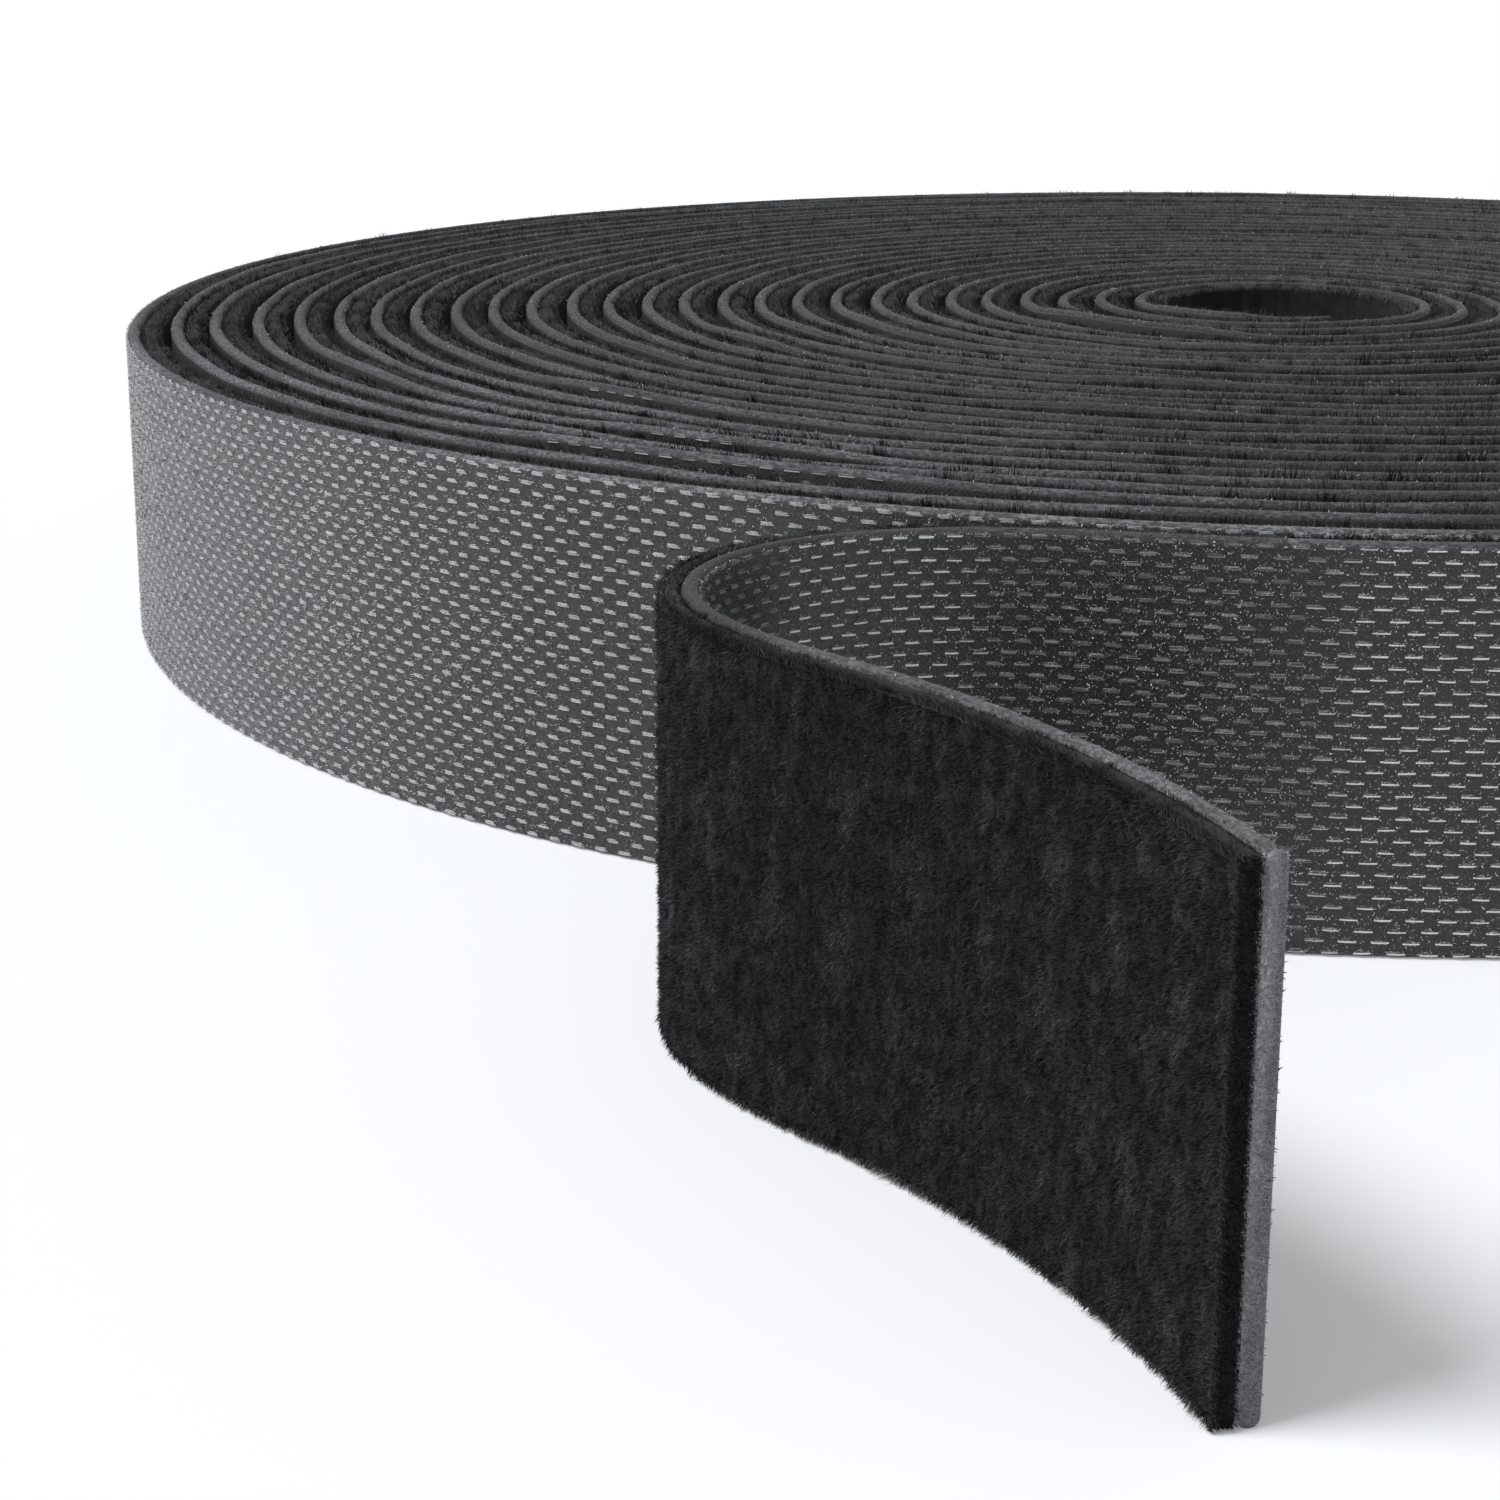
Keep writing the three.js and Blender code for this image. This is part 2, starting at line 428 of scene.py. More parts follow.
bead_tints = [
    plain_fibre("bead_light", (0.42, 0.43, 0.45), roughness=0.45),
    plain_fibre("bead_mid", (0.12, 0.124, 0.13), roughness=0.5),
    plain_fibre("bead_dark", (0.016, 0.016, 0.017), roughness=0.6),
]
cut_tints = [
    plain_fibre("cut_light", (0.46, 0.465, 0.49), roughness=0.6),
    plain_fibre("cut_mid", (0.29, 0.293, 0.31), roughness=0.6),
]


# Meshes


def mesh_object(name, flat, faces, materials, tints, bake_map=None, smooth_faces=True):
    """A mesh object from points of the flat tape, faces as one array per number of corners, and a material
    number for each face. It keeps the flat coordinates for the materials."""
    mesh = bpy.data.meshes.new(name)
    flat = flat.reshape(-1, 3)
    mesh.vertices.add(len(flat))
    mesh.vertices.foreach_set("co", place(flat).astype(np.float32).ravel())
    corners = np.concatenate([f.ravel() for f in faces]).astype(np.int32)
    sizes = np.concatenate([np.full(len(f), f.shape[1]) for f in faces])
    mesh.loops.add(len(corners))
    mesh.loops.foreach_set("vertex_index", corners)
    mesh.polygons.add(len(sizes))
    mesh.polygons.foreach_set("loop_start", np.concatenate([[0], np.cumsum(sizes)[:-1]]).astype(np.int32))
    mesh.polygons.foreach_set("material_index", tints.astype(np.int32))
    mesh.update(calc_edges=True)
    mesh.polygons.foreach_set("use_smooth", np.full(len(sizes), smooth_faces))
    for material in materials:
        mesh.materials.append(material)
    kept = mesh.attributes.new("tape_mm", "FLOAT_VECTOR", "POINT")
    kept.data.foreach_set("vector", (flat / MM).astype(np.float32).ravel())
    if bake_map is not None:
        layer = mesh.uv_layers.new(name="OFBake")
        layer.uv.foreach_set("vector", bake_map.astype(np.float32).ravel())
    obj = bpy.data.objects.new(name, mesh)
    bpy.context.scene.collection.objects.link(obj)
    return obj


def copies(name, flat, template, materials, tints, smooth_faces=True):
    """Many copies of one small shape: flat holds each copy's points, template the faces of one, and tints
    each copy's material number."""
    count, points = flat.shape[:2]
    faces = [(t[None] + np.arange(count)[:, None, None] * points).reshape(-1, t.shape[1]) for t in template]
    tints = np.concatenate([np.repeat(tints, len(t)) for t in template])
    return mesh_object(name, flat, faces, materials, tints, smooth_faces=smooth_faces)


CORNER_STEPS = 4


def rounded_section(near, far, low, high, corner, side_step=TAPE_WIDTH):
    """A closed outline with round corners, as distances off the bond line and up, anticlockwise as seen
    looking back along the tape. Its sides are cut into parts no longer than side_step."""
    centres = (
        (far - corner, low + corner),
        (far - corner, high - corner),
        (near + corner, high - corner),
        (near + corner, low + corner),
    )
    arcs = []
    for quarter, centre in enumerate(centres):
        angle = np.linspace(quarter - 1, quarter, CORNER_STEPS + 1) * FULL_TURN / 4
        arcs.append(centre + corner * np.stack([np.cos(angle), np.sin(angle)], -1))
    outline = np.concatenate(arcs)
    points = []
    for here, after in zip(outline, np.roll(outline, -1, 0)):
        parts = math.ceil(np.hypot(*(after - here)) / side_step)
        points.append(here + (after - here) * np.arange(parts)[:, None] / parts)
    return np.concatenate(points)


SELVEDGE = 0.24 * MM  # how far from the tape's edges the material of the edges reaches
CUT_END = 2  # the place of the cut ends' material in a strip's list


def strip(name, runs, section, materials, closed, rows=1, bumps=None):
    """A strip with one section, between the first and the last of the runs. closed says of its two ends
    whether they have a face. Its map for baking is folded into rows."""
    count, around = len(runs), len(section)
    flat = np.empty((count, around, 3))
    flat[..., 0] = runs[:, None]
    flat[..., 1:] = section
    if bumps is not None:
        flat = bumps(flat)
    i, j = (grid.ravel() for grid in np.meshgrid(np.arange(count - 1), np.arange(around), indexing="ij"))
    k = (j + 1) % around
    quads = np.stack([i * around + j, i * around + k, (i + 1) * around + k, (i + 1) * around + j], -1)
    off_middle = np.abs((section[j, 1] + section[k, 1]) / 2 - TAPE_WIDTH / 2)
    tints = (off_middle > TAPE_WIDTH / 2 - SELVEDGE).astype(int)
    first, last = np.arange(around)[::-1], (count - 1) * around + np.arange(around)
    caps = np.array([cap for cap, wanted in zip((first, last), closed) if wanted])
    per_row = math.ceil((count - 1) / rows)
    u = [(i % per_row + step) / per_row for step in (0, 0, 1, 1)]
    v = [(i // per_row + (j + step) / around) / rows for step in (0, 1, 1, 0)]
    bake_map = np.stack([np.stack(u, -1), np.stack(v, -1)], -1).reshape(-1, 2)
    faces = [quads]
    if len(caps):
        faces.append(caps)
        tints = np.concatenate([tints, np.full(len(caps), CUT_END)])
        bake_map = np.concatenate([bake_map, np.tile((0.5, 0.5), (caps.size, 1))])
    return mesh_object(name, flat, faces, materials, tints, bake_map)


def runs_between(start, end, step):
    return np.linspace(start, end, int(round((end - start) / step)) + 1)


CLUMP_WAVES = 14
CLUMP_LENGTHS = (0.6, 1.7)  # the shortest and the longest wave, as shares of a clump's size
CLUMP_UPRIGHT = 0.7  # distances up the tape count for less, which makes the clumps taller than long
CLUMP_CONTRAST = 1.4


def clump(along, up, size, seed):
    """A smooth seeded field over the flat tape, around 0 with a spread of 1, from a few crossing waves."""
    random = np.random.default_rng(seed)
    total = np.zeros_like(along)
    for _ in range(CLUMP_WAVES):
        angle, phase = random.uniform(0, FULL_TURN, 2)
        length = size * random.uniform(*CLUMP_LENGTHS)
        distance = along * math.cos(angle) + up * math.sin(angle) * CLUMP_UPRIGHT
        total += np.sin(distance * FULL_TURN / length + phase)
    return total / math.sqrt(CLUMP_WAVES) * CLUMP_CONTRAST


def pile_bumps(flat):
    """Moves the loop web's outer face in and out in soft clumps."""
    along, off, up = flat[..., 0], flat[..., 1], flat[..., 2]
    wave = 0.02 * clump(along, up, 1.2 * MM, seed=71) + 0.01 * clump(along, up, 0.5 * MM, seed=72)
    moved = flat.copy()
    moved[..., 1] -= wave * MM * smooth(-off, 0.3 * MM, 0.55 * MM)
    return moved


TUFT_HEIGHT, TUFT_ALONG, TUFT_OFF = 0.05 * MM, 0.17 * MM, 0.12 * MM
TUFT_DRIFT, TUFT_DRIFT_ALONG = 1.3, 1.3 * MM  # tufts come now sooner and now later


def crowded_pile(flat):
    """Spreads the loop web of the wound turns towards the next turn, with soft tufts on its edges."""
    along, off, up = flat[..., 0], flat[..., 1], flat[..., 2]
    spread = (PILE_DEPTH + LOOP_BACK) / (LOOP_BACK - LOOP_GROUND)
    spread = 1 + (spread - 1) * smooth(-along, 0.0, CROWDING)
    drift = TUFT_DRIFT * np.sin(along / TUFT_DRIFT_ALONG)
    tufts = np.sin(along / TUFT_ALONG + drift) * np.sin(off / TUFT_OFF)
    moved = flat.copy()
    moved[..., 1] = LOOP_BACK + (off - LOOP_BACK) * spread
    moved[..., 2] += TUFT_HEIGHT * tufts * np.sign(up - TAPE_WIDTH / 2)
    return moved


WOUND_STEP, WOUND_PILE_STEP = 1.2 * MM, 0.5 * MM
FREE_STEP, FREE_PILE_STEP = 0.5 * MM, 0.2 * MM
BAKE_ROWS = 28

hook_section = rounded_section(HOOK_BACK, HOOK_GROUND, 0, TAPE_WIDTH, HOOK_CORNER)
loop_section = rounded_section(LOOP_GROUND, LOOP_BACK, PILE_INSET, TAPE_WIDTH - PILE_INSET, LOOP_CORNER)
loop_section_fine = rounded_section(
    LOOP_GROUND, LOOP_BACK, FREE_INSET, TAPE_WIDTH - FREE_INSET, LOOP_CORNER, FREE_PILE_STEP
)
hook_wound = strip(
    "hook_web_wound",
    runs_between(START, PEEL_START, WOUND_STEP),
    hook_section,
    wound_hook_web,
    closed=(True, False),
    rows=BAKE_ROWS,
)
loop_wound = strip(
    "loop_web_wound",
    runs_between(START, PEEL_START, WOUND_PILE_STEP),
    loop_section,
    loop_web,
    closed=(True, False),
    rows=BAKE_ROWS,
    bumps=crowded_pile,
)
hook_peel = strip(
    "hook_web_peel",
    runs_between(PEEL_START, PEEL_END, FREE_STEP),
    hook_section,
    free_hook_web,
    closed=(False, False),
)
loop_peel = strip(
    "loop_web_peel",
    runs_between(PEEL_START, PEEL_END, FREE_PILE_STEP),
    loop_section_fine,
    loop_web,
    closed=(False, False),
    bumps=pile_bumps,
)
hook_free = strip(
    "hook_web_free",
    runs_between(PEEL_END, FREE_LENGTH, FREE_STEP),
    hook_section,
    free_hook_web,
    closed=(False, True),
)
loop_free = strip(
    "loop_web_free",
    runs_between(PEEL_END, FREE_LENGTH, FREE_PILE_STEP),
    loop_section_fine,
    loop_web,
    closed=(False, True),
    bumps=pile_bumps,
)


# Seeded lengths, given in millimetres, and seeded factors


def between(random, low, high, count):
    return random.uniform(low, high, count) * MM


def about(random, middle, spread, shape):
    return random.normal(middle * MM, spread * MM, shape)


def varied(random, share, shape):
    """Factors up to that share above or below 1."""
    return random.uniform(1 - share, 1 + share, shape)


def number_on(length, width, density):
    """How many fibres that area holds, with so many a square millimetre."""
    return int(length * width * density / MM**2)


# Raised dashes of the hook web, in rows that are offset by half from one to the next. Each is a flat bundle
# of strands that lie beside each other, the upper ones a little further along the tape. On the left of the
# roll all strands are brushed up and thick, and painted light. Elsewhere the lowest strand stands out with a
# painted glint and the upper ones are pressed thin and painted in shade, but where the tape comes off the
# roll all are alike again and painted in shade. Deep in the fold they are painted in shade too.
DASH_PITCH, ROW_PITCH, ROWS = 1.21 * MM, 0.4444 * MM, 36
ALL_ROWS, TOP_ROWS = range(ROWS), range(ROWS - 2, ROWS)
FIRST_ROW = (TAPE_WIDTH - (ROWS - 1) * ROW_PITCH) / 2
DASH_LENGTH, STRAND_RADIUS = 0.65 * MM, 0.032 * MM

# A dash's four strands, from the lowest to the uppermost.
STRAND_UP = np.array((-0.060, -0.020, 0.020, 0.060)) * MM
STRAND_OUT = np.array((0.045, 0.050, 0.045, 0.030)) * MM
STRAND_SHIFT = np.array((-0.025, 0.0, 0.02, 0.04)) * MM
STRAND_LENGTH = np.array((1.0, 0.95, 0.92, 0.86))
STRAND_IS_UPPER = np.array((False, True, True, True))

# Where along the tape the dashes change, each as the two distances past the peel line between which they do.
# Far before the peel line the dashes are painted light; near the peel line and deep in the fold they are
# painted in shade.
BRUSHED_AND_LIT_BEFORE = (150 * MM, 300 * MM)  # these two are distances before the peel line
ALIKE_FROM, ALIKE_TO = (-9 * MM, -4.5 * MM), (5 * MM, 8 * MM)
FACING_FROM = (7 * MM, 9 * MM)
HIDDEN_FROM = (14 * MM, 16 * MM)

# Each dash lies a little off its place, by two quick waves over where it is.
WANDER_WAVES = ((7919, 131), (6007, -173))
WANDER_ALONG, WANDER_UP = 0.02, 0.012  # millimetres


def dash_places(start, end, rows):
    """Middles of the dashes from one distance along the tape up to another."""
    bounds = np.interp((start, end), RUN, WOVEN)
    along, up = [], []
    for row in rows:
        offset = DASH_PITCH / 2 * (row % 2)
        first, last = (math.ceil((bound - offset) / DASH_PITCH) for bound in bounds)
        at = offset + np.arange(first, last) * DASH_PITCH
        along.append(np.interp(at, WOVEN, RUN))
        up.append(np.full(len(at), FIRST_ROW + row * ROW_PITCH))
    along, up = np.concatenate(along), np.concatenate(up)
    aside, above = (np.sin(along * a / MM + up * b / MM) for a, b in WANDER_WAVES)
    return along + aside * WANDER_ALONG * MM, up + above * WANDER_UP * MM


# A strand has three stations of three points, and so four faces.
STRAND_FACES = np.array([(k, k + 1, k + 4, k + 3) for k in (0, 1, 3, 4)])


def strands(name, line, radius, materials, tints):
    """Half-round strands: line holds the three points of each."""
    flat = np.repeat(line, 3, axis=1)
    flat[:, 0::3, 2] -= radius[:, None]
    flat[:, 1::3, 1] += radius[:, None]
    flat[:, 2::3, 2] += radius[:, None]
    return copies(name, flat, [STRAND_FACES], materials, tints)


def dashes(name, start, end, rows, seed, least_lift=0.0, light=1.0):
    """Dashes where the tape stands at least so high. light is the share of them that catch the light."""
    along, up = dash_places(start, end, rows)
    shown = np.interp(along, RUN, LIFT) >= least_lift
    along, up = along[shown, None], up[shown, None]
    random = np.random.default_rng(seed)
    shape = (len(along), len(STRAND_UP))
    brushed = smooth(-along, *BRUSHED_AND_LIT_BEFORE) * light
    alike = smooth(along, *ALIKE_FROM) * (1 - smooth(along, *ALIKE_TO))
    hidden = smooth(along, *HIDDEN_FROM)
    facing = smooth(along, *FACING_FROM) * (1 - hidden)

    # The strands' lengths and places
    half = DASH_LENGTH / 2 * STRAND_LENGTH * varied(random, 0.1, shape) * np.interp(along, RUN, PRESSED)
    half *= 1 - 0.12 * brushed
    slant = random.normal(0.0, 0.005, shape) * MM
    middle = along + STRAND_SHIFT + about(random, 0, 0.02, shape)
    height = up + STRAND_UP + about(random, 0, 0.004, shape)

    # Their radii, and how far they stand off the weave
    thin = (0.011 + 0.005 * alike + 0.008 * brushed + 0.012 * hidden) * MM
    thick = STRAND_RADIUS * (1 - 0.4 * alike - 0.38 * brushed + 0.2 * facing)
    radius = np.where(STRAND_IS_UPPER, thin, thick) * varied(random, 0.15, shape)
    raised = 0.45 + 0.55 * np.maximum(brushed, alike + hidden)
    out = HOOK_GROUND + STRAND_OUT * np.where(STRAND_IS_UPPER, raised, 1) * varied(random, 0.2, shape)
    line = np.empty((*shape, 3, 3))
    for station, side in enumerate((-1, 0, 1)):
        line[:, :, station, 0] = middle + half * side
        line[:, :, station, 1] = out - STRAND_RADIUS * (0.2 + 1.2 * abs(side))
        line[:, :, station, 2] = height + slant * side

    # Their tints: the lowest strands get a painted glint, but near the peel line and deep in the fold they
    # are painted in shade. The upper strands are painted in shade, a random share of them less so, and on the
    # left of the roll a share of all strands is painted light.
    shine = np.where(STRAND_IS_UPPER, 0, light * (1 - alike) * (1 - hidden)) + random.normal(0, 0.1, shape)
    medium = random.random(shape) < (0.4 - 0.05 * alike) * (1 - 0.8 * hidden)
    tints = np.select([shine > 0.75, shine > 0.35, medium], [DASH_PAINTED_GLINT, DASH_PAINTED_SOFT_GLINT, DASH_MID], DASH_DIM)
    tints = np.where(random.random(shape) < brushed, DASH_PAINTED_LIGHT, tints)
    return strands(name, line.reshape(-1, 3, 3), radius.ravel(), dash_tints, tints.ravel())


SPIKE_RING = np.array([(math.cos(a), math.sin(a)) for a in (0, FULL_TURN / 3, 2 * FULL_TURN / 3)])
SPIKE_FACES = np.array([(0, 1, 3), (1, 2, 3), (2, 0, 3)])
ALONG, OFF, UP = range(3)


def spikes(name, root, tip, radius, axes, materials, tints, seed):
    """Thin three-sided spikes. axes are the two coordinates in which the foot is wide."""
    turn = np.random.default_rng(seed).uniform(0, FULL_TURN, len(root))
    c, s = np.cos(turn), np.sin(turn)
    flat = np.concatenate([np.repeat(root[:, None], 3, axis=1), tip[:, None]], axis=1)
    for corner, (x, y) in enumerate(SPIKE_RING):
        flat[:, corner, axes[0]] += radius * (c * x - s * y)
        flat[:, corner, axes[1]] += radius * (s * x + c * y)
    return copies(name, flat, [SPIKE_FACES], materials, tints, smooth_faces=False)


def hook_shades(random, shares, along):
    """Tints of small hooks, by the share of each tint. Inside the fold most of them are painted dark, as
    painted shade.
    """
    tints = random.choice(len(hook_tints), len(along), p=shares)
    painted_shade_in_fold = smooth(along, 13.5 * MM, 16 * MM)
    return np.where(random.random(len(along)) < 0.9 * painted_shade_in_fold, HOOK_DARK, tints)


TICKS = 5  # on each dash
TICK_SPAN = (-0.5, 0.4)  # from its middle, as shares of its length


def ticks(name, start, end, seed):
    """The small hooks that stand on the upper strands of each dash."""
    along, up = dash_places(start, end, ALL_ROWS)
    random = np.random.default_rng(seed)
    steps = np.linspace(*TICK_SPAN, TICKS) * DASH_LENGTH * np.interp(along, RUN, PRESSED)[:, None]
    count = steps.size
    along = (along[:, None] + steps).ravel() + about(random, 0, 0.03, count)
    up = np.repeat(up, TICKS) + between(random, -0.04, 0.05, count)
    root = np.stack([along, np.full(count, HOOK_GROUND + 0.03 * MM), up], -1)
    rise = between(random, 0.02, 0.10, count)
    lean = about(random, -0.03, 0.03, count)
    reach = between(random, 0.05, 0.12, count)
    tints = hook_shades(random, (0.50, 0.35, 0.15), along)
    radius = between(random, 0.018, 0.028, count)
    tip = root + np.stack([lean, reach, rise], -1)
    return spikes(name, root, tip, radius, (UP, ALONG), hook_tints, tints, seed)


def specks(name, start, end, density, seed):
    """Ends of hooks and of broken filaments between the dashes, so many a square millimetre."""
    random = np.random.default_rng(seed)
    margin = 0.1 * MM
    count = number_on(end - start, TAPE_WIDTH, density)
    along, up = random.uniform(start, end, count), random.uniform(margin, TAPE_WIDTH - margin, count)
    root = np.stack([along, np.full(count, HOOK_GROUND - 0.01 * MM), up], -1)
    reach = between(random, 0.04, 0.15, count)
    lean = about(random, 0, 0.05, count)
    rise = about(random, 0.02, 0.05, count)
    tints = hook_shades(random, (0.40, 0.36, 0.24), along)
    radius = between(random, 0.016, 0.032, count)
    tip = root + np.stack([lean, reach, rise], -1)
    return spikes(name, root, tip, radius, (UP, ALONG), hook_tints, tints, seed)


# The outermost turn is dressed all over. On the turns inside it only the highest edges show their dashes.
OUTER_PARTS = 3
DRESSED_TURNS, EDGE_DASH_TURNS = 1.03, 8
EDGE_DASH_LIFT = 0.37 * MM
outer_start = -DRESSED_TURNS * OUTER_TURN
last_dash = FREE_LENGTH - DASH_LENGTH / 2
on_roll, on_peel, on_free = [hook_wound, loop_wound], [hook_peel, loop_peel], [hook_free, loop_free]
cuts = np.linspace(outer_start, PEEL_START, OUTER_PARTS + 1)
for part, (start, end) in enumerate(zip(cuts, cuts[1:])):
    on_roll += [
        dashes(f"dashes_outer_turn_{part}", start, end, ALL_ROWS, seed=10 + part),
        ticks(f"ticks_outer_turn_{part}", start, end, seed=20 + part),
        specks(f"specks_outer_turn_{part}", start, end, density=34, seed=30 + part),
    ]
on_roll.append(
    dashes(
        "dashes_inner_turns",
        -EDGE_DASH_TURNS * OUTER_TURN,
        outer_start,
        TOP_ROWS,
        seed=15,
        least_lift=EDGE_DASH_LIFT,
        light=0.0,
    )
)
on_peel += [
    dashes("dashes_peel", PEEL_START, PEEL_END, ALL_ROWS, seed=16),
    ticks("ticks_peel", PEEL_START, PEEL_END, seed=26),
    specks("specks_peel", PEEL_START, PEEL_END, density=44, seed=36),
]
on_free += [
    dashes("dashes_free", PEEL_END, last_dash, ALL_ROWS, seed=17),
    ticks("ticks_free", PEEL_END, last_dash, seed=27),
    specks("specks_free", PEEL_END, FREE_LENGTH, density=40, seed=37),
]


# Pile


def pile_shades(random, light, mid_above, light_above, specked):
    """Tints of the pile's fibres by how light they are. specked is the share of them that are pale specks."""
    tints = np.select([light > light_above, light > mid_above], [PILE_LIGHT, PILE_MID], PILE_DARK)
    return np.where(random.random(len(light)) < specked, PILE_SPECK, tints)


BLADE_FACES = [np.array([(0, 1, 3, 2)]), np.array([(2, 3, 4)])]


def pile_face(name, start, end, density, seed):
    """Brushed fibres on the loop web's face: narrow bent blades that lean together in clumps."""
    random = np.random.default_rng(seed)
    margin, foot, least_reach, least_up = 0.15 * MM, 0.1 * MM, 0.05 * MM, 0.02 * MM
    tip_lean, middle_reach = 1.6, 0.6
    count = number_on(end - start, TAPE_WIDTH, density)
    along, up = random.uniform(start, end, count), random.uniform(margin, TAPE_WIDTH - margin, count)
    lean_along = clump(along, up, 0.8 * MM, seed=41) * 0.03 * MM + about(random, 0, 0.05, count)
    lean_up = clump(along, up, 0.7 * MM, seed=42) * 0.035 * MM + about(random, -0.03, 0.05, count)

    # Near the tape's edges they splay out past them, but not into the ground.
    off_edge = np.minimum(up, TAPE_WIDTH - up)
    splay = smooth(0.5 * MM - off_edge, 0, 0.4 * MM) * np.sign(up - TAPE_WIDTH / 2)
    outward = splay * random.uniform(0.05, 0.3, count) * MM
    outward = np.maximum(outward, least_up - up - lean_up * tip_lean)
    reach = (0.16 + 0.05 * clump(along, up, 0.7 * MM, seed=43) + random.uniform(-0.05, 0.10, count)) * MM
    reach = np.maximum(reach, least_reach)
    bend = random.uniform(0.3, 0.7, count)

    middle_up = up + (lean_up + outward) * bend
    tip_up = up + lean_up * tip_lean + outward
    root = np.stack([along, np.full(count, LOOP_GROUND + foot), up], -1)
    middle = np.stack([along + lean_along * bend, LOOP_GROUND - reach * middle_reach, middle_up], -1)
    tip = np.stack([along + lean_along * tip_lean, LOOP_GROUND - reach, tip_up], -1)
    turn = random.uniform(0, FULL_TURN / 2, count)
    wide = between(random, 0.009, 0.016, count)
    side = np.stack([np.cos(turn) * wide, np.zeros(count), np.sin(turn) * wide], -1)
    flat = np.stack([root - side, root + side, middle - side, middle + side, tip], 1)

    light = clump(along, up, 2.2 * MM, seed=44) * 0.9 + clump(along, up, 0.6 * MM, seed=45) * 0.4
    light = light + random.normal(0, 0.45, count)
    # Near the fold's left rim a share of the fibres are pale specks, as painted sheen.
    at_fold = smooth(along, 14 * MM, 18 * MM) * (1 - smooth(along, 20 * MM, 25 * MM))
    tints = pile_shades(random, light, mid_above=0.0, light_above=1.3, specked=0.05 * at_fold)
    return copies(name, flat, BLADE_FACES, pile_tints, tints, smooth_faces=False)


def pile_edge(name, start, end, density, seed, low=False):
    """Fibres that stand on the loop web's upper or lower edge."""
    random = np.random.default_rng(seed)
    on_free_end = end > 0
    outer = np.interp((start + end) / 2, (-CROWDING, 0), (PILE_TIP, LOOP_GROUND - 0.3 * MM))
    inner = -0.06 * MM if on_free_end else 0.06 * MM
    foot, past_edge, least_rise, least_up = 0.15 * MM, 0.02 * MM, 0.1 * MM, 0.02 * MM
    count = number_on(end - start, -outer, density)
    along, off = random.uniform(start, end, count), random.uniform(outer + 0.15 * MM, inner, count)
    root = np.stack([along, off, np.full(count, TAPE_WIDTH - PILE_INSET - foot)], -1)

    # They stand in tufts, lower towards the next turn, and higher where the pile is brushed up.
    tufts = 0.12 * clump(along, off, 1.6 * MM, seed=47) * MM
    falling = 1 - 0.35 * smooth(-off, 0.7 * MM, 1.2 * MM)
    rise = between(random, 0.22, 0.44, count) * falling + tufts
    lean = about(random, 0.02, 0.16, count) + tufts
    matted = np.interp(along, RUN, MATTED) * smooth(-along, 0, CROWDING)
    rise += between(random, 0.0, 0.28, count) * matted
    if on_free_end:
        lean = lean * 0.7 - 0.06 * MM
    tip = root + np.stack([about(random, 0, 0.13, count), lean, np.maximum(rise, least_rise)], -1)
    tip[:, OFF] = np.maximum(tip[:, OFF], PILE_TIP)
    if on_free_end:
        tip[:, UP] = np.minimum(tip[:, UP], TAPE_WIDTH + past_edge)
    if low:
        root[:, UP], tip[:, UP] = TAPE_WIDTH - root[:, UP], np.maximum(TAPE_WIDTH - tip[:, UP], least_up)

    light = random.normal(0, 0.8, count) + 0.9 * clump(along, off, 7 * MM, seed=46) + 0.8 * matted
    at_fold = smooth(along, 6 * MM, 12 * MM) * (1 - smooth(along, 22 * MM, 27 * MM))
    tints = pile_shades(random, light, mid_above=-0.3, light_above=1.5, specked=0.18 * at_fold)
    radius = between(random, 0.025, 0.05, count)
    axes = (OFF, ALONG) if low else (ALONG, OFF)
    return spikes(name, root, tip, radius, axes, pile_tints, tints, seed)


def cut_end(name, low_off, high_off, reach, density, materials, seed):
    """Short cut fibres that stand out of the tape's cut end."""
    random = np.random.default_rng(seed)
    margin, foot = 0.08 * MM, 0.05 * MM
    count = number_on(high_off - low_off, TAPE_WIDTH, density)
    off = random.uniform(low_off, high_off, count)
    up = random.uniform(margin, TAPE_WIDTH - margin, count)
    root = np.stack([np.full(count, FREE_LENGTH - foot), off, up], -1)
    ahead = foot + random.uniform(0.3, 1, count) * reach
    tip = root + np.stack([ahead, about(random, 0, 0.06, count), about(random, 0, 0.05, count)], -1)
    tints = random.choice(len(materials), count)
    radius = between(random, 0.02, 0.04, count)
    return spikes(name, root, tip, radius, (OFF, UP), materials, tints, seed)


def bead_fuzz(name, start, end, density, seed):
    """Broken filaments on the hook web's rounded upper edge."""
    random = np.random.default_rng(seed)
    half = (HOOK_GROUND - HOOK_BACK) / 2
    foot = 0.02 * MM
    count = number_on(end - start, 2 * half, density)
    along, aside = random.uniform(start, end, count), random.uniform(-0.95, 0.95, count) * half
    down = np.maximum(np.abs(aside) - (half - HOOK_CORNER), 0)
    up = TAPE_WIDTH - HOOK_CORNER + np.sqrt(HOOK_CORNER**2 - down**2) - foot
    root = np.stack([along, HOOK_BACK + half + aside, up], -1)
    lean = about(random, 0, 0.06, (2, count))
    tip = root + np.stack([lean[0], lean[1] + aside * 0.2, between(random, 0.03, 0.11, count)], -1)
    tints = random.choice(len(bead_tints), count, p=(0.26, 0.36, 0.38))
    radius = between(random, 0.02, 0.04, count)
    return spikes(name, root, tip, radius, (ALONG, OFF), bead_tints, tints, seed)


